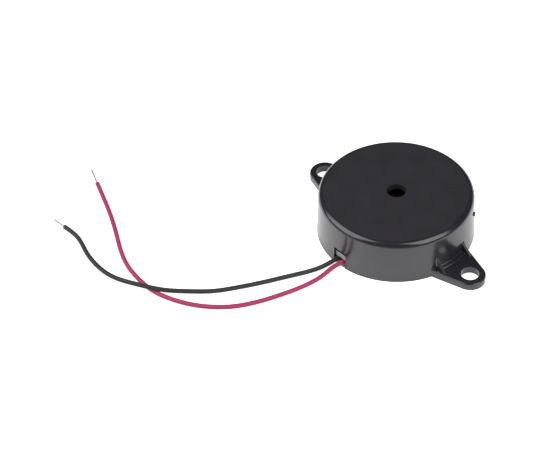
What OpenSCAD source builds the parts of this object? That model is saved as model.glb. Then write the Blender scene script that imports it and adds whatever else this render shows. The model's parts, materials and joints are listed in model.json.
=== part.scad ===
// Piezo buzzer: round housing with two screw ears, brass and ceramic sounder disc,
// drive board, back cover and two thin leads. Millimetres, +Z up, origin at the
// centre of the base, +X through the ear holes, leads leave towards -Y.

/* [Housing] */
// Diameter of the wall just under the rounded rim
housing_d = 30; // [29:0.1:31]
// Overall height
housing_h = 9.5; // [9:0.1:14]
// How far the wall's foot stands out from its top, as draft
draft = 0.2; // [0.05:0.05:0.4]
// Radius of the rounded rim
rim_r = 1.2; // [0.3:0.1:1.6]
// How far the wall's foot flares out
flare_out = 0.1; // [0.05:0.05:0.3]
// Height of the flare at the foot
flare_h = 0.9; // [0.4:0.1:1.3]
// Thickness of the wall beside the disc
wall_t = 1.4; // [1.3:0.1:1.8]
// Thickness of the top plate
top_t = 1.2; // [0.8:0.1:1.8]
// Diameter of the sound hole
sound_hole_d = 3.7; // [1.5:0.1:8]
// Height of the sound chamber above the disc
chamber_h = 2; // [1:0.1:2.4]
// Width of the gate mark, the small stub on the wall where the plastic was fed in
gate_w = 0.5; // [0.4:0.1:1.2]
// Height of the gate mark
gate_h = 0.7; // [0.6:0.1:1.6]
// How far the gate mark stands out from the wall
gate_out = 0.25; // [0.1:0.05:0.4]
// Height of the gate mark's middle above the base
gate_z = 5.7; // [5:0.1:6.5]
// Direction of the gate mark, in degrees from the right ear
gate_turn = 37; // [30:1:60]
// Width of the ledge that the disc is glued to
disc_ledge_w = 1; // [0.6:0.1:2]
// Width of the ledge that stops the circuit board
board_ledge_w = 0.5; // [0.3:0.1:0.6]

/* [Ears] */
// Distance between the two ear holes
ear_pitch = 40; // [39:0.5:46]
// Diameter of the ear holes
ear_hole_d = 3.5; // [2:0.1:4.2]
// Radius of the rounded ear tip
ear_tip_r = 3; // [2.5:0.1:3.6]
// Width of the ear where it meets the wall
ear_root_w = 9.8; // [9.4:0.1:12]
// Thickness of the ears
ear_t = 1.5; // [1.1:0.1:2.5]
// Rounding of the ears' top edges
ear_edge_r = 0.3; // [0.1:0.05:0.5]
// Clear width between the two gussets of an ear
gusset_gap = 6.2; // [4:0.1:6.4]
// Thickness of a gusset
gusset_t = 0.6; // [0.4:0.1:0.7]
// Height of a gusset at the wall, above the base
gusset_h = 4.1; // [2.8:0.1:6]
// How far a gusset's foot reaches out from the wall
gusset_reach = 2.3; // [1:0.1:2.6]
// Width of the low step on the ear, next to the wall
step_w = 0.85; // [0.4:0.05:1.4]
// Height of the low step above the ear
step_h = 0.3; // [0.1:0.05:0.6]
// Diameter of the round moulding pip beside a gusset
pip_d = 0.7; // [0.4:0.1:0.8]

/* [Lead exit] */
// Width of the notch in the wall's foot
notch_w = 3.1; // [3:0.1:4]
// Sideways place of the notch
notch_x = 0.1; // [0.05:0.05:0.15]
// Height of the notch
notch_h = 3.6; // [2:0.1:4]
// Depth of the notch in the wall, down to its lip
notch_depth = 0.45; // [0.2:0.05:0.6]
// How much deeper the notch is above the lip
lip_t = 0.2; // [0.1:0.05:0.25]
// Share of the notch's face above the slot that the lip takes up
lip_share = 0.6; // [0.4:0.02:0.8]
// How much further in the notch's face is at the slot than at the lip
face_lean = 0.4; // [0.1:0.05:0.45]
// Height of the slot that the leads pass through
slot_h = 1.5; // [1.35:0.05:1.8]

/* [Sounder disc] */
// Thickness of the brass diaphragm
diaphragm_t = 0.25; // [0.1:0.05:0.4]
// Width of the bare brass round the ceramic
brass_margin = 3.5; // [3:0.1:5]
// Thickness of the ceramic
ceramic_t = 0.23; // [0.1:0.01:0.4]
// Width of the bare ceramic round the silver
silver_margin = 0.7; // [0.3:0.1:1.5]
// Thickness of the silver
silver_t = 0.03; // [0.02:0.01:0.06]
// Width of the feedback electrode
feedback_w = 4; // [3:0.1:5]
// Length of the feedback electrode, from the silver's edge inwards
feedback_l = 6; // [4:0.1:8]
// Bare gap between the feedback electrode and the main one
silver_gap = 0.8; // [0.4:0.1:1.4]
// Gap between the disc and the bore round it
disc_gap = 0.1; // [0.05:0.05:0.3]
// How far the adhesive reaches in under the disc
glue_w = 0.7; // [0.3:0.1:1]
// How far the adhesive reaches down the bore
glue_h = 0.6; // [0.3:0.1:1.2]

/* [Board and cover] */
// Thickness of the circuit board
board_t = 0.8; // [0.6:0.1:1.2]
// Thickness of the copper
copper_t = 0.04; // [0.03:0.01:0.1]
// Gap between the board, or the cover, and the bore
board_gap = 0.1; // [0.05:0.05:0.2]
// Height of the room under the board
under_board_h = 1.5; // [1.3:0.1:2]
// Thickness of the back cover
cover_t = 0.9; // [0.7:0.1:1]
// Diameter of the cover's posts
post_d = 1.6; // [1:0.1:2.2]
// Distance from the cover's rim to the middle of a post
post_inset = 1.6; // [1.3:0.1:2.4]
// Length of the cover's slot for the leads, from its rim inwards
cover_slot_l = 3; // [2.8:0.1:3.4]
// Depth of the shallow round recess in the cover's outer face
recess_depth = 0.2; // [0.1:0.05:0.4]
// Distance from the cover's rim to that recess
recess_inset = 4; // [3.6:0.1:8]

/* [Parts on the board] */
// Length of the transistor's body
transistor_l = 2.9; // [2.6:0.1:3.2]
// Width of the transistor's body
transistor_w = 1.3; // [1.1:0.1:1.5]
// Height of the transistor's body
transistor_h = 1; // [0.8:0.05:1.05]
// Distance between the transistor's two paired legs
leg_pitch = 1.9; // [1.6:0.1:2.2]
// Width of a transistor leg
leg_w = 0.4; // [0.3:0.05:0.5]
// Thickness of a transistor leg
leg_t = 0.15; // [0.1:0.01:0.2]
// How far a leg reaches out from the transistor's body
leg_reach = 0.6; // [0.5:0.05:0.8]
// Length of a chip resistor with its ends
resistor_l = 2; // [1.6:0.1:2.4]
// Width of a chip resistor
resistor_w = 1.25; // [0.8:0.05:1.6]
// Height of a chip resistor
resistor_h = 0.5; // [0.35:0.05:0.7]
// Length of a resistor's tinned end
resistor_end_l = 0.4; // [0.2:0.05:0.5]
// Distance between neighbouring resistors
resistor_pitch = 2.4; // [2:0.1:3]
// Diameter of the solder pads for the wires and the leads
pad_d = 1.7; // [1.5:0.1:1.8]
// Width of the copper tracks
track_w = 0.5; // [0.3:0.05:0.6]

/* [Wires] */
// Diameter of the wires from the board to the disc
wire_d = 0.4; // [0.3:0.05:0.5]
// Clear gap round these wires in the board's holes
wire_gap = 0.15; // [0.1:0.01:0.25]
// Bend radius of these wires
wire_bend_r = 1; // [0.7:0.1:1.2]
// Straight run of these wires along the disc
wire_run = 1.5; // [0.8:0.1:2]
// Diameter of the solder joints on the disc
disc_joint_d = 1.4; // [1.3:0.1:1.6]
// Diameter of the solder joints on the board
board_joint_d = 1.4; // [1.2:0.1:1.5]
// Diameter of the leads over their insulation
lead_d = 0.9; // [0.7:0.05:0.9]
// Diameter of the leads' stranded conductor
conductor_d = 0.38; // [0.3:0.01:0.5]
// Length of the stripped tip of the red lead
red_tip_l = 4.8; // [2:0.1:8]
// Length of the stripped tip of the black lead
black_tip_l = 3.2; // [2:0.1:8]
// Length of the stripped ends that are soldered inside
root_l = 1.6; // [1.5:0.1:1.8]

/* [Hidden] */
$fn = 96;
cut = 0.01;

// The points that pull each lead into shape, from its root inside the housing to its tip
red_route = [
    [1, -10, 1.7], [1, -12, 1.3], [1, -14, 0.8], [0.09, -16.48, 0.8], [0.68, -20, 0.5],
    [0.1, -24.5, 0.45], [-1.2, -29, 0.45], [-2.7, -33.4, 0.45], [-5.2, -38.3, 0.45],
    [-9.3, -42.1, 0.45], [-12.9, -44.2, 0.45], [-17.6, -46, 0.45], [-22, -46, 0.45],
    [-26.8, -45.4, 0.45], [-31.3, -43.5, 0.45], [-35.7, -40.9, 0.45], [-40.2, -38.5, 0.45],
    [-44.7, -36.5, 0.45], [-49.6, -34.4, 0.45]];
black_route = [
    [-1, -10, 1.7], [-1, -12, 1.3], [-0.94, -14, 0.75], [-0.93, -16.5, 0.7], [-1.6, -19.97, 0.5],
    [-3.8, -24.3, 0.45], [-6.1, -29.5, 0.45], [-8.4, -33.8, 0.45], [-10.7, -37.9, 0.45],
    [-13.6, -41, 0.65], [-16.6, -45, 1.35], [-20.8, -47.5, 1.65], [-25.7, -49.6, 1.2],
    [-30.4, -49.5, 0.5], [-35.3, -48.8, 0.45], [-39.8, -46.7, 0.45], [-44.2, -47, 0.45]];
// Rings between two points of a route, and sides of a lead's tube
ring_steps = 2;
tube_sides = 8;

// Radii that several pieces share
housing_r = housing_d / 2;
foot_r = housing_r + draft;
flare_r = foot_r + flare_out;
wall_drop = draft / (housing_h - rim_r);
disc_bore_r = housing_r - wall_t;
base_bore_r = disc_bore_r + board_ledge_w;
disc_r = disc_bore_r - disc_gap;
chamber_r = disc_r - disc_ledge_w;
ceramic_r = disc_r - brass_margin;
silver_r = ceramic_r - silver_margin;
board_r = base_bore_r - board_gap;

// Heights of the stack, from the base up
board_z = cover_t + under_board_h;
board_top_z = board_z + board_t;
ledge_z = housing_h - top_t - chamber_h;
disc_z = ledge_z - diaphragm_t;
ceramic_z = disc_z - ceramic_t;
silver_z = ceramic_z - silver_t;
solder_z = board_z - copper_t;

// The ear's sides are tangent to its round tip
tip_x = ear_pitch / 2;
root_half_w = ear_root_w / 2;
root_x = sqrt(housing_r ^ 2 - root_half_w ^ 2);
side_angle = acos(ear_tip_r / norm([tip_x - root_x, root_half_w])) - atan2(tip_x - root_x, root_half_w);
root_lap = ear_tip_r / 3;
side_sink = 0.02;
gusset_x = sqrt(housing_r ^ 2 - (gusset_gap / 2 + gusset_t) ^ 2);

// Joint of each wire on the disc: its angle, its distance from the centre and the height of its face
ground_place = [60, (disc_r - glue_w + ceramic_r) / 2, disc_z];
main_place = [180, silver_r / 2, silver_z];
feedback_place = [300, silver_r - feedback_w / 2, silver_z];
wire_places = [ground_place, main_place, feedback_place];
wire_reach = wire_run + wire_bend_r;
wire_end_z = solder_z - wire_d;

// Pads on the board, in plan: wires, leads, transistor legs and resistors
ground_pad = pad_of(ground_place);
main_pad = pad_of(main_place);
feedback_pad = pad_of(feedback_place);
red_pad = [red_route[0].x, red_route[0].y + root_l];
black_pad = [black_route[0].x, black_route[0].y + root_l];
round_pads = [ground_pad, main_pad, feedback_pad, red_pad, black_pad];
transistor_y = -2.5;
leg_foot_l = leg_reach / 2;
leg_y = transistor_w / 2 + leg_reach - leg_foot_l / 2;
collector = [0, transistor_y + leg_y];
emitter = [-leg_pitch / 2, transistor_y - leg_y];
base = [leg_pitch / 2, transistor_y - leg_y];
resistor_y = 3.5;
resistor_xs = [for (i = [-1:1]) i * resistor_pitch];
high_y = resistor_y + (resistor_l - resistor_end_l) / 2;
low_y = resistor_y - (resistor_l - resistor_end_l) / 2;
end_wrap = 0.05;
pad_margin = 0.2;

// The copper tracks, each as the points that it joins
tracks = [
    [red_pad, [8.8, -6], [8.5, 0], [resistor_pitch, high_y], [0, high_y]],
    [emitter, black_pad, [-7.5, -5], [-7.5, 7], ground_pad],
    [[-resistor_pitch, low_y], [0, low_y], collector],
    [[-resistor_pitch, high_y], [-5, 1.7], main_pad],
    [[resistor_pitch, low_y], [2.6, -2], base, feedback_pad]];

// A wire's pad on the board: beside its joint, square to the disc's radius
function pad_of(place) =
    place[1] * [cos(place[0]), sin(place[0])] + wire_reach * [-sin(place[0]), cos(place[0])];

// A point of a cubic B-spline, between the middle two of four neighbouring points
function spline_at(a, b, c, d, t) =
    ((1 - t) ^ 3 * a + (3 * t ^ 3 - 6 * t ^ 2 + 4) * b + (-3 * t ^ 3 + 3 * t ^ 2 + 3 * t + 1) * c
     + t ^ 3 * d) / 6;

// The smooth path of a route: it starts and ends at the route's own ends
function path(p) =
    let (n = len(p), q = concat([2 * p[0] - p[1]], p, [2 * p[n - 1] - p[n - 2]]))
    concat([for (i = [0:n - 2], k = [0:ring_steps - 1])
                spline_at(q[i], q[i + 1], q[i + 2], q[i + 3], k / ring_steps)],
           [p[n - 1]]);

function unit(v) = v / norm(v);

// Direction of a path at its point i
function heading(p, i) = unit(p[min(i + 1, len(p) - 1)] - p[max(i - 1, 0)]);

// The corners of one ring of a tube, square to the path
function ring(centre, along, r) =
    let (side = unit(cross([0, 0, 1], along)), up = cross(along, side))
    [for (k = [0:tube_sides - 1])
        centre + r * (cos(360 * k / tube_sides) * side + sin(360 * k / tube_sides) * up)];

// A tube of radius r along a path, closed at both ends
module tube(p, r) {
    n = len(p);
    points = [for (i = [0:n - 1]) each ring(p[i], heading(p, i), r)];
    walls = [for (i = [0:n - 2], k = [0:tube_sides - 1])
        let (a = i * tube_sides + k, b = i * tube_sides + (k + 1) % tube_sides)
        each [[a, a + tube_sides, b + tube_sides], [a, b + tube_sides, b]]];
    start_cap = [for (k = [0:tube_sides - 1]) k];
    end_cap = [for (k = [tube_sides - 1:-1:0]) (n - 1) * tube_sides + k];
    polyhedron(points, concat([start_cap], walls, [end_cap]));
}

// A round rod that starts at a point and runs along a direction
module rod(start, along, length, d) {
    translate(start)
        rotate([0, acos(along.z), atan2(along.y, along.x)])
            cylinder(d = d, h = length, $fn = 24);
}

module lead_root(route) {
    p = path(route);
    rod(p[0], -heading(p, 0), root_l, conductor_d);
}

module lead_tip(route, length) {
    p = path(route);
    rod(p[len(p) - 1], heading(p, len(p) - 1), length, conductor_d);
}

// Section of the ear's plate, from its middle out to its rounded top edge
module ear_section(half_w) {
    square([half_w - ear_edge_r, ear_t]);
    square([half_w, ear_t - ear_edge_r]);
    translate([half_w - ear_edge_r, ear_t - ear_edge_r]) circle(ear_edge_r, $fn = 48);
}

// The ear's plate: a round tip, a straight band along each side and the web between them
module ear_plate() {
    side_l = norm([tip_x - root_x, root_half_w]);
    web = [-side_l * cos(side_angle), side_l * sin(side_angle) + root_lap];
    translate([tip_x, 0, 0]) {
        rotate_extrude() ear_section(ear_tip_r);
        for (s = [0, 1])
            mirror([0, s, 0])
                rotate([90, 0, side_angle - 90])
                    linear_extrude(side_l) ear_section(ear_tip_r - side_sink);
        linear_extrude(ear_t)
            polygon([[root_lap, 0], [0, root_lap], web, [web.x, -web.y], [0, -root_lap]]);
    }
}

module gusset() {
    rotate([90, 0, 0])
        linear_extrude(gusset_t)
            polygon([[root_x, ear_t / 2], [gusset_x + gusset_reach, ear_t / 2],
                     [gusset_x + gusset_reach, ear_t], [gusset_x, gusset_h], [root_x, gusset_h]]);
}

// Low step on the ear that follows the wall from gusset to gusset
module ear_step() {
    step_r = foot_r + step_w;
    intersection() {
        translate([0, 0, ear_t / 2]) cylinder(r = step_r, h = ear_t / 2 + step_h);
        translate([root_x, -(gusset_gap + gusset_t) / 2, 0])
            cube([step_r, gusset_gap + gusset_t, ear_t + step_h]);
    }
}

module ear() {
    ear_plate();
    translate([0, -gusset_gap / 2, 0]) gusset();
    translate([0, gusset_gap / 2 + gusset_t, 0]) gusset();
    ear_step();
}

// The drum's outer shape, as the half section that is turned round Z
module drum_section() {
    polygon([[0, 0], [flare_r, 0], [foot_r - wall_drop * flare_h, flare_h],
             [housing_r, housing_h - rim_r], [0, housing_h - rim_r]]);
    square([housing_r - rim_r, housing_h]);
    translate([housing_r - rim_r, housing_h - rim_r]) circle(rim_r);
}

// Shallow notch in the foot's outside, with a lip, a face that leans in, and a slot for the leads
module lead_notch() {
    back_y = notch_depth + lip_t - foot_r;
    lip_y = notch_depth - foot_r;
    lip_z = slot_h + lip_share * (notch_h - slot_h);
    translate([notch_x - notch_w / 2, 0, 0])
        rotate([90, 0, 90])
            linear_extrude(notch_w)
                polygon([[-flare_r - cut, -cut], [-flare_r - cut, notch_h], [back_y, notch_h],
                         [back_y, lip_z], [lip_y, lip_z], [lip_y + face_lean, slot_h],
                         [0, slot_h], [0, -cut]]);
}

// The small stub that is left where the plastic was fed in
module gate_mark() {
    wall_r = foot_r - wall_drop * gate_z;
    rotate([0, 0, gate_turn])
        translate([disc_bore_r + wall_t / 2, -gate_w / 2, gate_z - gate_h / 2])
            cube([wall_r + gate_out - disc_bore_r - wall_t / 2, gate_w, gate_h]);
}

module moulding_pip() {
    translate([foot_r + pip_d / 2, -(gusset_gap + pip_d) / 2 - gusset_t, ear_t])
        sphere(d = pip_d, $fn = 48);
}

module housing() {
    color([0.13, 0.13, 0.14])
    difference() {
        union() {
            rotate_extrude() drum_section();
            for (turn = [0, 180]) rotate([0, 0, turn]) ear();
            moulding_pip();
            gate_mark();
        }
        translate([0, 0, -cut]) cylinder(r = base_bore_r, h = board_top_z + cut);
        cylinder(r = disc_bore_r, h = ledge_z);
        cylinder(r = chamber_r, h = housing_h - top_t);
        cylinder(d = sound_hole_d, h = housing_h + cut);
        for (s = [-1, 1])
            translate([s * tip_x, 0, -cut]) cylinder(d = ear_hole_d, h = ear_t + 2 * cut);
        lead_notch();
    }
}

module back_cover() {
    color([0.10, 0.10, 0.11])
    difference() {
        union() {
            cylinder(r = board_r, h = cover_t);
            for (turn = [45:90:315])
                rotate([0, 0, turn])
                    translate([board_r - post_inset, 0, 0]) cylinder(d = post_d, h = board_z, $fn = 48);
        }
        translate([notch_x - notch_w / 2, -board_r - cut, -cut])
            cube([notch_w, cover_slot_l + cut, cover_t + 2 * cut]);
        translate([0, 0, -cut]) cylinder(r = board_r - recess_inset, h = recess_depth + cut);
    }
}

module diaphragm() {
    color([0.80, 0.65, 0.30])
    translate([0, 0, disc_z]) cylinder(r = disc_r, h = diaphragm_t);
}

module piezo_ceramic() {
    color([0.85, 0.83, 0.76])
    translate([0, 0, ceramic_z]) cylinder(r = ceramic_r, h = ceramic_t);
}

// Round-ended tongue of the feedback electrode, larger by grow all round
module tongue(grow) {
    half_w = feedback_w / 2 + grow;
    inner_x = silver_r - feedback_l + feedback_w / 2;
    rotate(feedback_place[0]) {
        translate([inner_x, 0]) circle(half_w);
        translate([inner_x, -half_w]) square([feedback_l, 2 * half_w]);
    }
}

module main_electrode() {
    color([0.78, 0.78, 0.80])
    translate([0, 0, silver_z])
        linear_extrude(silver_t)
            difference() {
                circle(silver_r);
                tongue(silver_gap);
            }
}

module feedback_electrode() {
    color([0.78, 0.78, 0.80])
    translate([0, 0, silver_z])
        linear_extrude(silver_t)
            intersection() {
                circle(silver_r);
                tongue(0);
            }
}

module disc_adhesive() {
    color([0.88, 0.88, 0.86])
    rotate_extrude()
        polygon([[disc_r, ledge_z], [disc_r, disc_z], [disc_r - glue_w, disc_z],
                 [disc_bore_r, disc_z - glue_h], [disc_bore_r, ledge_z]]);
}

module circuit_board() {
    color([0.72, 0.55, 0.30])
    difference() {
        translate([0, 0, board_z]) cylinder(r = board_r, h = board_t);
        for (place = wire_places)
            translate([pad_of(place).x, pad_of(place).y, board_z - cut])
                cylinder(d = wire_d + 2 * wire_gap, h = board_t + 2 * cut, $fn = 48);
    }
}

// A straight track with round ends, from point a to point b
module track(a, b) {
    translate(a)
        rotate(atan2(b.y - a.y, b.x - a.x))
            translate([0, -track_w / 2]) square([norm(b - a), track_w]);
    for (end = [a, b]) translate(end) circle(track_w / 2, $fn = 32);
}

module copper_pads() {
    color([0.80, 0.48, 0.30])
    translate([0, 0, solder_z])
        linear_extrude(copper_t)
            difference() {
                union() {
                    for (points = tracks, i = [1:len(points) - 1]) track(points[i - 1], points[i]);
                    for (place = round_pads) translate(place) circle(pad_d / 2, $fn = 48);
                    for (place = [collector, emitter, base])
                        translate(place) square([leg_w + pad_margin, leg_foot_l + 2 * pad_margin], center = true);
                    for (x = resistor_xs, y = [low_y, high_y])
                        translate([x, y]) square([resistor_w, resistor_end_l + 2 * pad_margin], center = true);
                }
                for (place = [ground_pad, main_pad, feedback_pad])
                    translate(place) circle(wire_d / 2 + wire_gap, $fn = 48);
            }
}

// The transistor hangs under the board, a leg's thickness off the copper
module transistor_body() {
    color([0.11, 0.11, 0.12])
    translate([-transistor_l / 2, transistor_y - transistor_w / 2, solder_z - leg_t - transistor_h])
        cube([transistor_l, transistor_w, transistor_h]);
}

// One bent leg on the body's side that faces +Y, centred on x = 0
module transistor_leg() {
    middle_z = -leg_t - transistor_h / 2;
    side_y = transistor_w / 2;
    knee_y = side_y + leg_reach - leg_foot_l;
    translate([-leg_w / 2, transistor_y, solder_z])
        rotate([90, 0, 90])
            linear_extrude(leg_w)
                polygon([[side_y, middle_z], [knee_y, middle_z], [knee_y, -leg_t],
                         [side_y + leg_reach, -leg_t], [side_y + leg_reach, 0],
                         [knee_y - leg_t, 0], [knee_y - leg_t, middle_z + leg_t],
                         [side_y, middle_z + leg_t]]);
}

module transistor_legs() {
    color([0.76, 0.76, 0.78]) {
        transistor_leg();
        for (x = [emitter.x, base.x])
            translate([x, 2 * transistor_y, 0]) mirror([0, 1, 0]) transistor_leg();
    }
}

module resistor_bodies() {
    body_l = resistor_l - 2 * resistor_end_l;
    color([0.09, 0.09, 0.10])
    for (x = resistor_xs)
        translate([x, resistor_y, solder_z - resistor_h / 2])
            cube([resistor_w - 2 * end_wrap, body_l, resistor_h - 2 * end_wrap], center = true);
}

module resistor_ends() {
    color([0.80, 0.80, 0.82])
    for (x = resistor_xs, y = [low_y, high_y])
        translate([x - resistor_w / 2, y - resistor_end_l / 2, solder_z - resistor_h])
            cube([resistor_w, resistor_end_l, resistor_h]);
}

// A wire from the board's solder side up to its joint: upright, a quarter bend and a straight run
module wire(place) {
    run_z = place.z - wire_d;
    bend_z = run_z - wire_bend_r;
    rotate([0, 0, place[0]])
        translate([place[1], 0, 0])
            rotate([0, 0, 90]) {
                translate([wire_reach, 0, wire_end_z])
                    cylinder(d = wire_d, h = bend_z - wire_end_z, $fn = 32);
                translate([wire_run, 0, bend_z])
                    rotate([90, 0, 0])
                        rotate_extrude(angle = 90)
                            translate([wire_bend_r, 0]) circle(d = wire_d, $fn = 32);
                translate([0, 0, run_z])
                    rotate([0, 90, 0]) cylinder(d = wire_d, h = wire_run, $fn = 32);
            }
}

module ground_wire() {
    color([0.15, 0.15, 0.16]) wire(ground_place);
}

module main_wire() {
    color([0.72, 0.12, 0.12]) wire(main_place);
}

module feedback_wire() {
    color([0.15, 0.35, 0.70]) wire(feedback_place);
}

// A solder joint: the half ball under the face that it sits on
module solder(x, y, z, d) {
    translate([x, y, z])
        difference() {
            sphere(d = d, $fn = 48);
            translate([-d, -d, 0]) cube([2 * d, 2 * d, d]);
        }
}

module disc_joints() {
    color([0.75, 0.75, 0.77])
    difference() {
        for (place = wire_places)
            rotate([0, 0, place[0]]) solder(place[1], 0, place.z, disc_joint_d);
        for (place = wire_places) wire(place);
    }
}

module board_joints() {
    color([0.75, 0.75, 0.77])
    difference() {
        for (place = [ground_pad, main_pad, feedback_pad])
            solder(place.x, place.y, solder_z, board_joint_d);
        for (place = wire_places) wire(place);
    }
}

module lead_joints() {
    color([0.75, 0.75, 0.77])
    difference() {
        for (place = [red_pad, black_pad]) solder(place.x, place.y, solder_z, board_joint_d);
        lead_root(red_route);
        lead_root(black_route);
    }
}

module red_lead() {
    color([0.72, 0.12, 0.32]) tube(path(red_route), lead_d / 2);
}

module red_lead_tip() {
    color([0.78, 0.76, 0.72]) lead_tip(red_route, red_tip_l);
}

module red_lead_root() {
    color([0.78, 0.76, 0.72]) lead_root(red_route);
}

module black_lead() {
    color([0.10, 0.10, 0.11]) tube(path(black_route), lead_d / 2);
}

module black_lead_tip() {
    color([0.78, 0.76, 0.72]) lead_tip(black_route, black_tip_l);
}

module black_lead_root() {
    color([0.78, 0.76, 0.72]) lead_root(black_route);
}

housing();
back_cover();
diaphragm();
piezo_ceramic();
main_electrode();
feedback_electrode();
disc_adhesive();
circuit_board();
copper_pads();
transistor_body();
transistor_legs();
resistor_bodies();
resistor_ends();
ground_wire();
main_wire();
feedback_wire();
disc_joints();
board_joints();
lead_joints();
red_lead();
red_lead_tip();
red_lead_root();
black_lead();
black_lead_tip();
black_lead_root();
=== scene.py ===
# %% [markdown]
# A piezo buzzer: a round black plastic housing with a screw ear on each side, and two thin leads
# that leave through a notch in its foot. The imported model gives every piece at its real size, so this
# lesson adds what a drawing can't show: rounded edges, twisted strands, and the finish of each surface.
# %% Load the frame
import json
import math

import bpy
from mathutils import Matrix, Vector
from mathutils.kdtree import KDTree

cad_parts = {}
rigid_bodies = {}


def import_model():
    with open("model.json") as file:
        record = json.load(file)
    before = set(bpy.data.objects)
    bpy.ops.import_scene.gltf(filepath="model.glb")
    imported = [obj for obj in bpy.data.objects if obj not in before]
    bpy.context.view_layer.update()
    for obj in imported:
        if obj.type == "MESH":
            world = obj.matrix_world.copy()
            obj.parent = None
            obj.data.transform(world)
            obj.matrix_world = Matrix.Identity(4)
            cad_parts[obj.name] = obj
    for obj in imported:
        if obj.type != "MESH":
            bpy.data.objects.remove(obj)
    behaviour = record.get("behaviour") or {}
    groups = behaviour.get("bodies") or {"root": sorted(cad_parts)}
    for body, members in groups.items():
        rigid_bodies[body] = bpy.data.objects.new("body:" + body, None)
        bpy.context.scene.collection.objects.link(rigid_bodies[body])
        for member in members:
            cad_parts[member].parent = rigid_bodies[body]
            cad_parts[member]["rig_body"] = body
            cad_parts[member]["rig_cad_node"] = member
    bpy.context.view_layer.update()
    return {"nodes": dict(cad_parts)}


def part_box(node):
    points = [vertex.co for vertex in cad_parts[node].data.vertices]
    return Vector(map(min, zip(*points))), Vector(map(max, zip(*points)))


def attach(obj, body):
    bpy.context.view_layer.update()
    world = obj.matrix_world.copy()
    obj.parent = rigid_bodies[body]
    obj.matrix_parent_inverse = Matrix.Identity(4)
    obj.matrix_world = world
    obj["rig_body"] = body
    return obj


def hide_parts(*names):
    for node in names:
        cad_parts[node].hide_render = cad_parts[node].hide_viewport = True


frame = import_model()
nodes = frame["nodes"]
mm = 0.001
drum_low, drum_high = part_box("housing")
print("Housing, in mm:", [round(side / mm, 2) for side in drum_high - drum_low])

# %% [markdown]
# The camera comes first, because everything is judged through it. A long lens, far away, keeps the
# round rim a clean ellipse. The camera looks down at about 43 degrees from the side of the right ear,
# so that the leads sweep away to the left. It is turned about three axes in a fixed order: tilt, then
# the turn round the upright axis, and first of all a small roll about its own line of sight.
# %% Camera
bpy.ops.object.camera_add(location=(0.2229, -0.22624, 0.29797))
camera = bpy.context.object
camera.name = "camera"
turn, tilt, roll = math.radians(48.98), math.radians(46.89), math.radians(-1.785)
camera.rotation_euler = (
    Matrix.Rotation(turn, 3, "Z") @ Matrix.Rotation(tilt, 3, "X") @ Matrix.Rotation(roll, 3, "Z")
).to_euler()
camera.data.sensor_width = 36
camera.data.lens = 149.05
camera.data.clip_end = 20
bpy.context.scene.camera = camera
print("Camera is", round(camera.location.length, 3), "m from the origin")

# %% [markdown]
# Two leads, each a copper strand bundle in a soft vinyl jacket. A free wire lies on the table in long
# lazy bends, and it crosses its neighbour in one low hump. Its line is a smooth spline pulled by a few
# points, in millimetres here, the same as in the CAD model. They aren't round numbers: they were set by
# hand, and then a fitting script moved most of them a little. The first points climb into the housing,
# where the wire is soldered.
# %% Routes of the leads
red_route = [
    (1, -10, 1.7), (1, -12, 1.3), (1, -14, 0.8), (0.09, -16.48, 0.8), (0.68, -20, 0.5),
    (0.1, -24.5, 0.45), (-1.2, -29, 0.45), (-2.7, -33.4, 0.45), (-5.2, -38.3, 0.45),
    (-9.3, -42.1, 0.45), (-12.9, -44.2, 0.45), (-17.6, -46, 0.45), (-22, -46, 0.45),
    (-26.8, -45.4, 0.45), (-31.3, -43.5, 0.45), (-35.7, -40.9, 0.45), (-40.2, -38.5, 0.45),
    (-44.7, -36.5, 0.45), (-49.6, -34.4, 0.45),
]
black_route = [
    (-1, -10, 1.7), (-1, -12, 1.3), (-0.94, -14, 0.75), (-0.93, -16.5, 0.7), (-1.6, -19.97, 0.5),
    (-3.8, -24.3, 0.45), (-6.1, -29.5, 0.45), (-8.4, -33.8, 0.45), (-10.7, -37.9, 0.45),
    (-13.6, -41, 0.65), (-16.6, -45, 1.35), (-20.8, -47.5, 1.65), (-25.7, -49.6, 1.2),
    (-30.4, -49.5, 0.5), (-35.3, -48.8, 0.45), (-39.8, -46.7, 0.45), (-44.2, -47, 0.45),
]
lead_d = 0.9 * mm
steps = 6


def smooth_line(route):
    """Points along the cubic B-spline of a route, which starts and ends at the route's own ends."""
    p = [Vector(point) * mm for point in route]
    p = [2 * p[0] - p[1], *p, 2 * p[-1] - p[-2]]
    line = []
    for a, b, c, d in zip(p, p[1:], p[2:], p[3:]):
        for t in (k / steps for k in range(steps)):
            from_b = 3 * t**3 - 6 * t**2 + 4
            from_c = -3 * t**3 + 3 * t**2 + 3 * t + 1
            line.append(((1 - t) ** 3 * a + from_b * b + from_c * c + t**3 * d) / 6)
    return [*line, p[-2]]


def line_length(line):
    return sum((b - a).length for a, b in zip(line, line[1:]))


red_line, black_line = smooth_line(red_route), smooth_line(black_route)
print("Red lead, in mm:", round(line_length(red_line) / mm, 1))
print("Black lead, in mm:", round(line_length(black_line) / mm, 1))

# %% [markdown]
# Three small helpers serve every piece. One selects exactly the objects that an operator should act on.
# One goes into edit mode with only the chosen faces selected. One makes a tube along a line: the points
# go into one open curve, the curve's own bevel gives the round section, and the curve is made a mesh.
# %% Helpers for modelling
def select_only(*objects):
    bpy.ops.object.select_all(action="DESELECT")
    for o in objects:
        o.select_set(True)
    bpy.context.view_layer.objects.active = objects[-1]


def pick(o, test):
    """Goes into edit mode on one piece, with only the faces selected that the test says."""
    select_only(o)
    bpy.ops.object.mode_set(mode="EDIT")
    bpy.ops.mesh.select_mode(type="FACE")
    bpy.ops.mesh.select_all(action="DESELECT")
    bpy.ops.object.mode_set(mode="OBJECT")
    for face in o.data.polygons:
        face.select = test(face)
    bpy.ops.object.mode_set(mode="EDIT")


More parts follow.
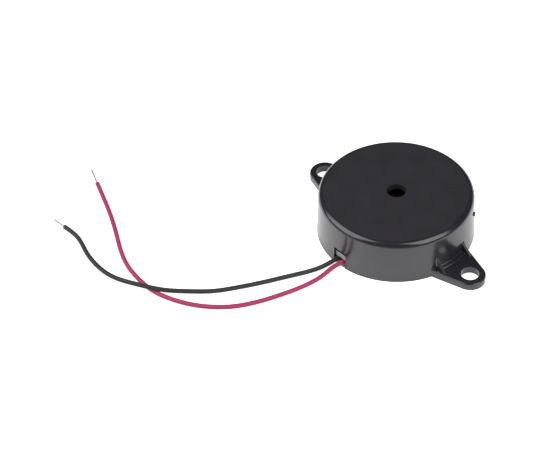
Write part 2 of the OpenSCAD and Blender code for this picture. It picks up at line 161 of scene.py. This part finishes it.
def tube(name, line, diameter, sides=12):
    curve = bpy.data.curves.new(name, "CURVE")
    curve.dimensions = "3D"
    curve.bevel_depth = diameter / 2
    curve.bevel_resolution = sides // 4 - 1
    curve.use_fill_caps = True
    spline = curve.splines.new("POLY")
    spline.points.add(len(line) - 1)
    for point, place in zip(spline.points, line):
        point.co = (*place, 1)
    o = bpy.data.objects.new(name, curve)
    bpy.context.collection.objects.link(o)
    select_only(o)
    bpy.ops.object.convert(target="MESH")
    bpy.ops.object.shade_smooth_by_angle(angle=math.radians(40))
    return bpy.context.object


# %% [markdown]
# A pattern on a wire has to follow the wire, so each tube gets its own UV map. U goes once round the
# wire, and V is the distance along it, in millimetres. For each corner the nearest point of the line
# gives the distance, and the direction from that point gives the angle. Where a face straddles the
# seam, one turn is added, so that no face runs backwards round the whole wire.
# %% A UV map that follows a wire
def follow(o, line):
    tree = KDTree(len(line))
    for i, place in enumerate(line):
        tree.insert(place, i)
    tree.balance()
    along = [0.0]
    for a, b in zip(line, line[1:]):
        along.append(along[-1] + (b - a).length)
    uv = o.data.uv_layers.new(name="along_the_wire")
    places = []
    for vertex in o.data.vertices:
        centre, i, _ = tree.find(vertex.co)
        ahead = (line[min(i + 1, len(line) - 1)] - line[max(i - 1, 0)]).normalized()
        side = ahead.cross((0, 0, 1)).normalized()
        out = vertex.co - centre
        angle = math.atan2(out.dot(side.cross(ahead)), out.dot(side)) / (2 * math.pi) % 1
        places.append((angle, (along[i] + out.dot(ahead)) / mm))
    for face in o.data.polygons:
        corners = [places[o.data.loops[k].vertex_index] for k in face.loop_indices]
        across_seam = max(u for u, v in corners) - min(u for u, v in corners) > 0.5
        for k, (u, v) in zip(face.loop_indices, corners):
            uv.data[k].uv = (u + (1 if across_seam and u < 0.5 else 0), v)


# %% [markdown]
# A jacket is a tube along the lead's line. At its end the stripper has cut the vinyl square and left a
# small hollow where the strands come out. So the end face is inset and drawn out a little for the cut
# edge, then inset again and pushed in along the wire for the hollow.
# %% The two jackets
def lead(name, line):
    o = tube(name, line, lead_d, 24)
    end, ahead = line[-1], (line[-1] - line[-2]).normalized()
    pick(o, lambda face: (face.center - end).length < lead_d / 4 and face.normal.dot(ahead) > 0.9)
    bpy.ops.mesh.inset(thickness=0.05 * mm)
    bpy.ops.mesh.extrude_region_move(TRANSFORM_OT_translate={"value": 0.03 * mm * ahead})
    bpy.ops.mesh.inset(thickness=0.17 * mm)
    bpy.ops.mesh.extrude_region_move(TRANSFORM_OT_translate={"value": -0.5 * mm * ahead})
    bpy.ops.object.mode_set(mode="OBJECT")
    follow(o, line)
    print(name, "has", len(o.data.polygons), "faces")
    return o


red_jacket, black_jacket = lead("red_jacket", red_line), lead("black_jacket", black_line)

# %% [markdown]
# The stripped ends are bundles of seven fine tinned wires, six twisted round one. Each wire is a tube
# along a stretched helix. Towards the tip the wires part a little, as they do when fingers let them go,
# so the helix opens with the distance from the jacket, and no two wires end at quite the same length.
# %% Strands
strand_d = 0.11 * mm
twist = math.radians(70) / mm
inside_jacket = 0.4 * mm


def strands(name, line, length):
    end, ahead = line[-1], (line[-1] - line[-2]).normalized()
    side = ahead.cross((0, 0, 1)).normalized()
    up = side.cross(ahead)
    wires = []
    for k in range(7):
        start = 2 * math.pi * k / 6
        reach = length * (1 - 0.02 * (k * 3 % 7))
        path = []
        for i in range(25):
            s = -inside_jacket + (reach + inside_jacket) * i / 24
            r = 0 if k == 6 else strand_d * (0.95 + 0.5 * max(s / length, 0) ** 3)
            angle = start + twist * s
            path.append(end + s * ahead + r * (math.cos(angle) * side + math.sin(angle) * up))
        wires.append(tube(f"{name}_{k}", path, strand_d, 8))
    select_only(*wires)
    bpy.ops.object.join()
    o = bpy.context.object
    o.name = name
    print(name, "has", len(o.data.polygons), "faces")
    return o


red_strands = strands("red_strands", red_line, 4.8 * mm)
black_strands = strands("black_strands", black_line, 3.2 * mm)

# %% [markdown]
# Both jackets and their strands ride on the housing and replace the plain tubes of the CAD model.
for jacket, bare, line, colour in (
    (red_jacket, red_strands, red_line, "red"),
    (black_jacket, black_strands, black_line, "black"),
):
    for piece in (jacket, bare):
        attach(piece, "root")
    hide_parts(f"{colour}_lead")
    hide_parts(f"{colour}_lead_tip")

# %% [markdown]
# The housing and its back cover are mouldings. The CAD solids have the right shape but razor edges, and
# a real mould rounds every edge a little. So a copy of each solid is merged into one surface, its flat
# faces are dissolved into single polygons, and Bevel modifiers round the sharp edges. Each modifier has
# its own edge attribute, which says what edges it rounds: the thin ribs and the step on the ears are
# softer than the rest. Weighted normals then keep the large faces true next to the small roundings.
# %% Rounded copies of the moulded pieces
sharp = math.radians(22)


def rounded_copy(solid, name, width, soft_width=0, soft=lambda place: False):
    select_only(nodes[solid])
    bpy.ops.object.duplicate()
    o = bpy.context.object
    o.name = name
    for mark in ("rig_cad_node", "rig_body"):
        del o[mark]
    bpy.ops.mesh.customdata_custom_splitnormals_clear()
    bpy.ops.object.mode_set(mode="EDIT")
    bpy.ops.mesh.select_all(action="SELECT")
    bpy.ops.mesh.remove_doubles(threshold=1e-6)
    bpy.ops.mesh.dissolve_limited(angle_limit=math.radians(0.1))
    bpy.ops.mesh.select_all(action="DESELECT")
    bpy.ops.mesh.select_mode(type="EDGE")
    bpy.ops.mesh.edges_select_sharp(sharpness=sharp)
    bpy.ops.object.mode_set(mode="OBJECT")
    for weight in ("soft_edge", "plain_edge"):
        o.data.attributes.new(weight, "FLOAT", "EDGE")
    for edge in o.data.edges:
        if edge.select:
            middle = sum((o.data.vertices[v].co for v in edge.vertices), Vector()) / 2
            weight = "soft_edge" if soft(middle) else "plain_edge"
            o.data.attributes[weight].data[edge.index].value = 1
    bpy.ops.object.shade_smooth_by_angle(angle=sharp)
    for weight, size in (("soft_edge", soft_width), ("plain_edge", width)):
        if size == 0:
            continue
        bevel = o.modifiers.new(weight, "BEVEL")
        bevel.width = size
        bevel.segments = 2
        bevel.limit_method = "WEIGHT"
        bevel.edge_weight = weight
        bevel.use_clamp_overlap = weight == "plain_edge"
        bevel.harden_normals = True
    weighted = o.modifiers.new("true_faces", "WEIGHTED_NORMAL")
    weighted.keep_sharp = True
    weighted.weight = 100
    for modifier in [each.name for each in o.modifiers]:
        bpy.ops.object.modifier_apply(modifier=modifier)
    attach(o, "root")
    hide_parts(solid)
    print(name, "has", len(o.data.polygons), "faces")
    return o


def on_ribs_or_step(place):
    """True beside the wall, above the ears' plates: the ribs, the pip and the low step."""
    return abs(place.x) > 14 * mm and abs(place.y) < 5 * mm and 1.55 * mm < place.z < 4.3 * mm


housing = rounded_copy("housing", "housing_shell", 0.1 * mm, 0.2 * mm, on_ribs_or_step)
cover = rounded_copy("back_cover", "cover_plate", 0.05 * mm)

# %% [markdown]
# The notch is open above the leads. Under the notch's lip, against its leaning face, sits a small grey
# pad. Its light grey is painted reflection: it stands in for the white table that the glossy face of the
# notch mirrors. It is too small to show more than a soft pad, so it is a cube at the gap's size, with its
# edges rounded.
# %% Painted-reflection pad in the notch
reflection_pad_middle = [place * mm for place in (0.1, -14.56, 2.09)]
reflection_pad_size = [side * mm for side in (3.04, 0.32, 1.26)]
# The pad's grey is painted reflection of the white table in the notch's face.
bpy.ops.mesh.primitive_cube_add(size=1, location=reflection_pad_middle)
reflection_pad = bpy.context.object
reflection_pad.name = "notch_reflection_pad"
reflection_pad.dimensions = reflection_pad_size
bpy.ops.object.transform_apply(location=True, rotation=False, scale=True)
rounding = reflection_pad.modifiers.new("rounding", "BEVEL")
rounding.width = 0.1 * mm
rounding.segments = 3
bpy.ops.object.modifier_apply(modifier="rounding")
bpy.ops.object.shade_smooth_by_angle(angle=math.radians(40))
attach(reflection_pad, "root")
print("Sealant, in mm:", [round(side / mm, 2) for side in reflection_pad.dimensions])

# %% [markdown]
# A finish is a small network of nodes. Each starts from the Principled shader with its plain numbers
# set on its own sockets. Noise on the object's own coordinates then varies the colour, the roughness
# and the height a little, at the scale of the real grain, so that no surface is perfectly even.
# %% Helpers for finishes
def finish(name, colour, roughness, **sockets):
    material = bpy.data.materials.new(name)
    material.use_nodes = True
    shader = material.node_tree.nodes["Principled BSDF"]
    shader.inputs["Base Color"].default_value = (*colour, 1)
    shader.inputs["Roughness"].default_value = roughness
    for socket, value in sockets.items():
        shader.inputs[socket.replace("_", " ")].default_value = value
    return material


def node(material, kind, **values):
    made = material.node_tree.nodes.new(kind)
    for name, value in values.items():
        setattr(made, name, value)
    return made


def link(material, start, end):
    material.node_tree.links.new(start, end)


def noise(material, size, detail=2.0, stretch=(1, 1, 1), where="Object"):
    """Noise from 0 to 1 with features about size across, in metres, or in UV units where UV is named."""
    place = node(material, "ShaderNodeTexCoord")
    scaled = node(material, "ShaderNodeMapping")
    scaled.inputs["Scale"].default_value = stretch
    made = node(material, "ShaderNodeTexNoise")
    made.inputs["Scale"].default_value = 1 / size
    made.inputs["Detail"].default_value = detail
    link(material, place.outputs[where], scaled.inputs["Vector"])
    link(material, scaled.outputs["Vector"], made.inputs["Vector"])
    return made.outputs["Fac"]


def between(material, factor, low, high, start=0.3, end=0.7):
    """Maps a noise's useful middle part to the range from low to high."""
    made = node(material, "ShaderNodeMapRange")
    for socket, value in (("From Min", start), ("From Max", end), ("To Min", low), ("To Max", high)):
        if isinstance(value, (int, float)):
            made.inputs[socket].default_value = value
        else:
            link(material, value, made.inputs[socket])
    link(material, factor, made.inputs["Value"])
    return made.outputs["Result"]


def shade_between(material, factor, low, high, start=0.3, end=0.7):
    made = node(material, "ShaderNodeMix", data_type="RGBA")
    made.inputs["A"].default_value = (*low, 1)
    made.inputs["B"].default_value = (*high, 1)
    link(material, between(material, factor, 0, 1, start, end), made.inputs["Factor"])
    return made.outputs["Result"]


def into(material, output, socket):
    link(material, output, material.node_tree.nodes["Principled BSDF"].inputs[socket])


def tint(material, factor, low, high, start=0.3, end=0.7):
    """Lets the base colour drift from low to high."""
    into(material, shade_between(material, factor, low, high, start, end), "Base Color")


def roughen(material, factor, low, high, start=0.3, end=0.7):
    """Lets the roughness drift from low to high."""
    into(material, between(material, factor, low, high, start, end), "Roughness")


def bump(material, height, depth, over=None):
    """Raises the surface by up to depth metres where height is 1. A second bump goes over the first."""
    made = node(material, "ShaderNodeBump")
    made.inputs["Distance"].default_value = depth
    link(material, height, made.inputs["Height"])
    if over is not None:
        link(material, over.outputs["Normal"], made.inputs["Normal"])
    into(material, made.outputs["Normal"], "Normal")
    return made


def wear(o, material):
    o.data.materials.clear()
    o.data.materials.append(material)


def wear_nodes(material, *names):
    """Gives CAD nodes a finish in the slot that they already have."""
    for name in names:
        nodes[name].material_slots[0].material = material
    print(material.name, "on", ", ".join(names))


# %% [markdown]
# The housing is black ABS. The mould is polished where it forms the wall, the rim and the ears, so they
# mirror the table and the lights. The mould's top is eroded to a fine grain, so the top face is matte.
# Both are one material: the height above the base tells them apart. It mixes the two roughnesses, and
# it lets the grain show only on the top. The polished parts keep the faint waviness of a real moulding.
# %% Black plastic of the housing
def height_mask(material, start, end):
    """0 below the height start and 1 above the height end, both in metres above the base."""
    place = node(material, "ShaderNodeTexCoord")
    split = node(material, "ShaderNodeSeparateXYZ")
    link(material, place.outputs["Object"], split.inputs["Vector"])
    return between(material, split.outputs["Z"], 0, 1, start, end)


abs_black = finish("black_abs", (0.022, 0.021, 0.027), 0.1, IOR=1.57)
cloud = noise(abs_black, 5 * mm)
tint(abs_black, cloud, (0.021, 0.02, 0.026), (0.027, 0.025, 0.033))
grained = height_mask(abs_black, drum_high.z - 0.03 * mm, drum_high.z - 0.005 * mm)
polish = between(abs_black, noise(abs_black, 1.5 * mm), 0.16, 0.22)
roughen(abs_black, grained, polish, 0.5, 0, 1)
waves = bump(abs_black, noise(abs_black, 2.5 * mm), 0.004 * mm)
grain = noise(abs_black, 0.15 * mm, 3)
bump(abs_black, between(abs_black, grained, 0, grain, 0, 1), 0.006 * mm, waves)
wear(housing, abs_black)

# %% [markdown]
# The back cover is a cheaper moulding, pressed in from below and never seen in use. It has an even fine
# grain all over, a little lighter than the housing.
# %% Black plastic of the back cover
cover_abs = finish("cover_abs", (0.035, 0.035, 0.038), 0.45, IOR=1.5)
tint(cover_abs, noise(cover_abs, 3 * mm), (0.032, 0.032, 0.035), (0.04, 0.04, 0.043))
roughen(cover_abs, noise(cover_abs, 0.6 * mm), 0.4, 0.5)
bump(cover_abs, noise(cover_abs, 0.12 * mm, 3), 0.008 * mm)
wear(cover, cover_abs)

# %% [markdown]
# The jackets are soft coloured vinyl. Extrusion leaves very fine streaks along the wire, so this noise
# reads the UV map that follows the wire, squeezed along V. The colour drifts slowly with the distance,
# between a darker colour and a lighter one. Both are lifted, the lighter one most, by a painted sheen that
# stands in for the soft highlight on the wire.
# %% Vinyl of the leads
def vinyl(name, dark, light, roughness):
    made = finish(name, light, roughness, IOR=1.5, Specular_IOR_Level=0.12)
    drift = noise(made, 6, 1, (0.5, 1, 1), "UV")
    # The lighter colour carries painted sheen, so this drift spreads a painted sheen along the wire.
    tint(made, drift, dark, light)
    streaks = noise(made, 0.06, 2, (1, 0.02, 1), "UV")
    roughen(made, streaks, roughness - 0.05, roughness + 0.08)
    bump(made, streaks, 0.004 * mm)
    return made


# Both colours of each jacket are lifted by painted sheen, the lighter one most.
red_vinyl_with_sheen = vinyl("red_vinyl_with_sheen", (0.41, 0.048, 0.125), (0.46, 0.066, 0.15), 0.38)
black_vinyl_with_sheen = vinyl("black_vinyl_with_sheen", (0.038, 0.036, 0.037), (0.062, 0.06, 0.061), 0.38)
wear(red_jacket, red_vinyl_with_sheen)
wear(black_jacket, black_vinyl_with_sheen)

# %% [markdown]
# The strands are copper with a thin skin of tin: a soft pale metal, duller where it was handled. The
# oxide on it scatters part of the light, so the metallic share is only a little over a half.
# %% Tinned strands
tin = finish("tinned_copper", (0.62, 0.61, 0.59), 0.4, Metallic=0.6)
tint(tin, noise(tin, 0.5 * mm), (0.52, 0.51, 0.49), (0.7, 0.69, 0.67))
roughen(tin, noise(tin, 0.1 * mm, 3), 0.28, 0.45)
bump(tin, noise(tin, 0.05 * mm), 0.002 * mm)
wear(red_strands, tin)
wear(black_strands, tin)
wear_nodes(tin, "red_lead_tip", "black_lead_tip", "red_lead_root", "black_lead_root")

# %% [markdown]
# Inside, a thin brass disc bends to make the sound. Rolling leaves long faint lines on the brass, so its
# noise is stretched a hundred times along one axis. Slow patches of tarnish drift over the colour.
# %% Brass of the diaphragm
brass = finish("rolled_brass", (0.72, 0.53, 0.25), 0.3, Metallic=1.0)
rolling = noise(brass, 0.08 * mm, 4, (0.01, 1, 1))
tarnish = noise(brass, 3 * mm, 3)
tint(brass, tarnish, (0.62, 0.44, 0.19), (0.76, 0.58, 0.29))
roughen(brass, rolling, 0.22, 0.4)
bump(brass, rolling, 0.003 * mm)
wear_nodes(brass, "diaphragm")

# %% [markdown]
# The disc on the brass is a fired ceramic. It is pressed from powder, so it has a dry, chalky grain and
# cloudy patches, and no shine.
# %% Ceramic of the sounder disc
fired = finish("fired_ceramic", (0.76, 0.73, 0.64), 0.6)
tint(fired, noise(fired, 1.2 * mm, 4), (0.70, 0.67, 0.58), (0.80, 0.77, 0.68))
roughen(fired, noise(fired, 0.3 * mm), 0.5, 0.7)
bump(fired, noise(fired, 0.06 * mm, 3), 0.006 * mm)
wear_nodes(fired, "piezo_ceramic")

# %% [markdown]
# The electrodes are silver paint, printed on the ceramic through a fine mesh, which leaves its weave in
# the paint. Two sets of fine waves, square to each other, make that weave in both height and roughness.
# %% Silver paint of the two electrodes
silver = finish("silver_paint", (0.72, 0.72, 0.73), 0.4, Metallic=1.0)
tint(silver, noise(silver, 2 * mm, 3), (0.66, 0.66, 0.66), (0.76, 0.76, 0.77))


def mesh_mark(material, pitch):
    """The weave of a printing mesh, from 0 to 1, with threads a pitch apart."""
    place = node(material, "ShaderNodeTexCoord")
    made = []
    for direction in ("X", "Y"):
        waves = node(material, "ShaderNodeTexWave", bands_direction=direction)
        waves.inputs["Scale"].default_value = 1 / pitch / 3.2
        waves.inputs["Distortion"].default_value = 0.3
        link(material, place.outputs["Object"], waves.inputs["Vector"])
        made.append(waves.outputs["Fac"])
    both = node(material, "ShaderNodeMath", operation="MULTIPLY")
    link(material, made[0], both.inputs[0])
    link(material, made[1], both.inputs[1])
    return both.outputs["Value"]


weave = mesh_mark(silver, 0.1 * mm)
roughen(silver, weave, 0.35, 0.5, 0, 1)
bump(silver, weave, 0.004 * mm)
wear_nodes(silver, "main_electrode", "feedback_electrode")

# %% [markdown]
# A ring of white silicone glues the disc to its ledge. Silicone lets a little light in, so some
# subsurface scattering softens it. The ring was laid by hand, and its skin is slightly uneven.
# %% Silicone
silicone = finish("white_silicone", (0.8, 0.8, 0.78), 0.35, Subsurface_Weight=0.3, Subsurface_Scale=0.001)
tint(silicone, noise(silicone, 2 * mm), (0.76, 0.76, 0.73), (0.84, 0.84, 0.82))
roughen(silicone, noise(silicone, 0.8 * mm), 0.28, 0.45)
bump(silicone, noise(silicone, 1 * mm, 3), 0.02 * mm)
wear_nodes(silicone, "disc_adhesive")

# %% [markdown]
# The pad in the notch is matte. Its light grey is painted reflection, standing in for the white table
# mirrored in the notch's face. The grey is uneven in patches, and the skin has low soft lumps.
# %% Grey pad of painted reflection
# This grey paints the white table's reflection in the notch's face.
painted_reflection_grey = finish("painted_reflection_grey", (0.3, 0.3, 0.31), 0.5)
tint(painted_reflection_grey, noise(painted_reflection_grey, 0.9 * mm), (0.2, 0.2, 0.21), (0.4, 0.4, 0.41))
roughen(painted_reflection_grey, noise(painted_reflection_grey, 0.3 * mm), 0.42, 0.6)
bump(painted_reflection_grey, noise(painted_reflection_grey, 0.5 * mm, 3), 0.02 * mm)
wear(reflection_pad, painted_reflection_grey)

# %% [markdown]
# The drive board is tan paper laminate. Its fibres show as short faint marks in one main direction. The
# copper tracks have dulled under a haze of flux, which takes the shine off in patches.
# %% Board and copper
laminate = finish("paper_laminate", (0.56, 0.38, 0.18), 0.5)
fibres = noise(laminate, 0.25 * mm, 4, (0.2, 1, 1))
tint(laminate, fibres, (0.50, 0.33, 0.15), (0.62, 0.43, 0.22))
roughen(laminate, noise(laminate, 1.5 * mm), 0.42, 0.6)
bump(laminate, fibres, 0.006 * mm)
wear_nodes(laminate, "circuit_board")

copper = finish("etched_copper", (0.72, 0.38, 0.22), 0.35, Metallic=1.0)
haze = noise(copper, 1.5 * mm, 3)
tint(copper, haze, (0.58, 0.30, 0.17), (0.78, 0.43, 0.27))
roughen(copper, haze, 0.5, 0.25)
bump(copper, noise(copper, 0.2 * mm, 3), 0.004 * mm)
wear_nodes(copper, "copper_pads")

# %% [markdown]
# The parts on the board: a transistor in dull black moulding compound, with tinned legs, and three chip
# resistors, each a black glazed ceramic body with tinned ends. Solder is bright, with a frosted grain
# where it froze. Fine speckle noise tells these greys and blacks apart, as it does on real parts.
# %% Parts on the board
compound = finish("moulding_compound", (0.03, 0.03, 0.032), 0.6)
tint(compound, noise(compound, 0.1 * mm, 4), (0.024, 0.024, 0.026), (0.04, 0.04, 0.042))
roughen(compound, noise(compound, 0.2 * mm), 0.5, 0.7)
bump(compound, noise(compound, 0.06 * mm, 3), 0.006 * mm)
wear_nodes(compound, "transistor_body")

glaze = finish("chip_glaze", (0.025, 0.025, 0.028), 0.2, Coat_Weight=0.5, Coat_Roughness=0.1)
tint(glaze, noise(glaze, 0.3 * mm), (0.02, 0.02, 0.023), (0.032, 0.032, 0.036))
roughen(glaze, noise(glaze, 0.3 * mm, 3), 0.16, 0.28)
bump(glaze, noise(glaze, 0.25 * mm), 0.008 * mm)
wear_nodes(glaze, "resistor_bodies")

tinned = finish("tinned_metal", (0.70, 0.70, 0.71), 0.35, Metallic=1.0)
tint(tinned, noise(tinned, 0.4 * mm), (0.64, 0.64, 0.64), (0.74, 0.74, 0.76))
roughen(tinned, noise(tinned, 0.15 * mm, 3), 0.28, 0.45)
bump(tinned, noise(tinned, 0.1 * mm, 3), 0.003 * mm)
wear_nodes(tinned, "transistor_legs", "resistor_ends")

solder = finish("solder", (0.66, 0.66, 0.68), 0.3, Metallic=1.0)
tint(solder, noise(solder, 0.5 * mm, 3), (0.58, 0.58, 0.59), (0.72, 0.72, 0.75))
roughen(solder, noise(solder, 0.2 * mm, 4), 0.2, 0.5)
bump(solder, noise(solder, 0.15 * mm, 4), 0.01 * mm)
wear_nodes(solder, "disc_joints", "board_joints", "lead_joints")


# %% [markdown]
# Three thin wires join the board to the disc. Their insulation is smooth and a little glossy, and its
# colour drifts slightly along the wire. The plain tubes and shells of the CAD model stay hidden behind
# the pieces made here, but they get their finishes too, so that no solid is left without one.
# %% Wires inside, and the hidden solids
def wire_skin(name, dark, light):
    """Thin coloured insulation, with a slight drift of colour and a soft skin."""
    made = finish(name, light, 0.35)
    tint(made, noise(made, 1.5 * mm), dark, light)
    roughen(made, noise(made, 0.4 * mm), 0.3, 0.42)
    bump(made, noise(made, 0.2 * mm), 0.003 * mm)
    return made


black_skin = wire_skin("black_wire_skin", (0.024, 0.024, 0.024), (0.034, 0.034, 0.034))
red_skin = wire_skin("red_wire_skin", (0.45, 0.02, 0.02), (0.58, 0.035, 0.03))
blue_skin = wire_skin("blue_wire_skin", (0.03, 0.08, 0.38), (0.045, 0.11, 0.48))
# The hidden red lead takes the red vinyl's colours, painted sheen included.
red_lead_skin_with_sheen = wire_skin("red_lead_skin_with_sheen", (0.41, 0.048, 0.125), (0.46, 0.066, 0.15))
wear_nodes(black_skin, "ground_wire", "black_lead")
wear_nodes(red_skin, "main_wire")
wear_nodes(blue_skin, "feedback_wire")
wear_nodes(red_lead_skin_with_sheen, "red_lead")
wear_nodes(abs_black, "housing")
wear_nodes(cover_abs, "back_cover")

# %% [markdown]
# The buzzer lies near the edge of a round white card, on a wide table. The card's own colour is a light
# grey-white. In front of the buzzer it fades into the darker table, so that the rim mirrors a dark line
# there, above the wall that mirrors the card. Behind, the rim still mirrors white and looks light. For
# the camera, and for what metal and plastic mirror on the card, the surface glows a little too. It reads
# as pure white there, still shows the soft shadow under the piece, and throws no extra light on it. Under
# the housing it doesn't glow at all, so the slot for the leads looks dark inside.
# %% Floor
card_middle = [place * mm for place in (-71, 71, 0)]
card_fade = (126 * mm, 138 * mm)
housing_edge = (15 * mm, 15.3 * mm)
glow = 0.8
bpy.ops.mesh.primitive_plane_add(size=3, location=(0, 0, 0))
floor = bpy.context.object
floor.name = "floor"
white_table = finish("white_table", (0.9, 0.9, 0.9), 1.0, Specular_IOR_Level=0.0)
white_table.node_tree.nodes["Principled BSDF"].inputs["Emission Color"].default_value = (1, 1, 1, 1)


def combine(operation, first, second):
    made = node(white_table, "ShaderNodeMath", operation=operation)
    link(white_table, first, made.inputs[0])
    link(white_table, second, made.inputs[1])
    return made.outputs["Value"]


def distance_from(middle):
    place = node(white_table, "ShaderNodeTexCoord")
    made = node(white_table, "ShaderNodeVectorMath", operation="DISTANCE")
    made.inputs[1].default_value = middle
    link(white_table, place.outputs["Object"], made.inputs[0])
    return made.outputs["Value"]


on_card = between(white_table, distance_from(card_middle), 1, 0, *card_fade)
tint(white_table, on_card, (0.3, 0.3, 0.3), (0.9, 0.9, 0.9), 0, 1)
ray = node(white_table, "ShaderNodeLightPath")
mirrored = combine("MAXIMUM", ray.outputs["Is Glossy Ray"], ray.outputs["Is Transmission Ray"])
seen = combine("MAXIMUM", ray.outputs["Is Camera Ray"], combine("MULTIPLY", mirrored, on_card))
in_the_open = between(white_table, distance_from((0, 0, 0)), 0, 1, *housing_edge)
strength = between(white_table, combine("MULTIPLY", seen, in_the_open), 0, glow, 0, 1)
into(white_table, strength, "Emission Strength")
wear(floor, white_table)

# %% [markdown]
# Two large softboxes do the lighting, as in a product studio: one far to the left of the camera and one
# to its right, both above the height of the table's far edge. The rim mirrors them as two bright strips
# with dark gaps before, between and behind them, and those strips are what makes it read as round. The
# room itself stays dark, so that the matte top stays deep.
# %% Lights
facing = math.degrees(math.atan2(camera.location.x, -camera.location.y))


def softbox(name, aside, elevation, width, height, power):
    """A rectangular lamp 1 m away. Its place, seen from the camera's side, and its size are in degrees."""
    a, e = math.radians(facing + aside), math.radians(elevation)
    place = Vector((math.sin(a) * math.cos(e), -math.cos(a) * math.cos(e), math.sin(e)))
    bpy.ops.object.light_add(type="AREA", location=place)
    lamp = bpy.context.object
    lamp.name = name
    lamp.data.shape = "RECTANGLE"
    lamp.data.size = 2 * math.tan(math.radians(width / 2))
    lamp.data.size_y = 2 * math.tan(math.radians(height / 2))
    lamp.data.energy = power
    lamp.rotation_euler = place.to_track_quat("Z", "Y").to_euler()
    print(name, "is", round(lamp.data.size, 2), "by", round(lamp.data.size_y, 2), "m")


softbox("left_softbox", -79, 40, 54, 54, 10.5)
softbox("right_softbox", 52, 40, 42, 54, 8.5)
world = bpy.data.worlds.new("dark_room")
bpy.context.scene.world = world
world.use_nodes = True
world.node_tree.nodes["Background"].inputs["Color"].default_value = (0.04, 0.04, 0.04, 1)
world.node_tree.nodes["Background"].inputs["Strength"].default_value = 1.0
bpy.context.scene.view_settings.view_transform = "Standard"
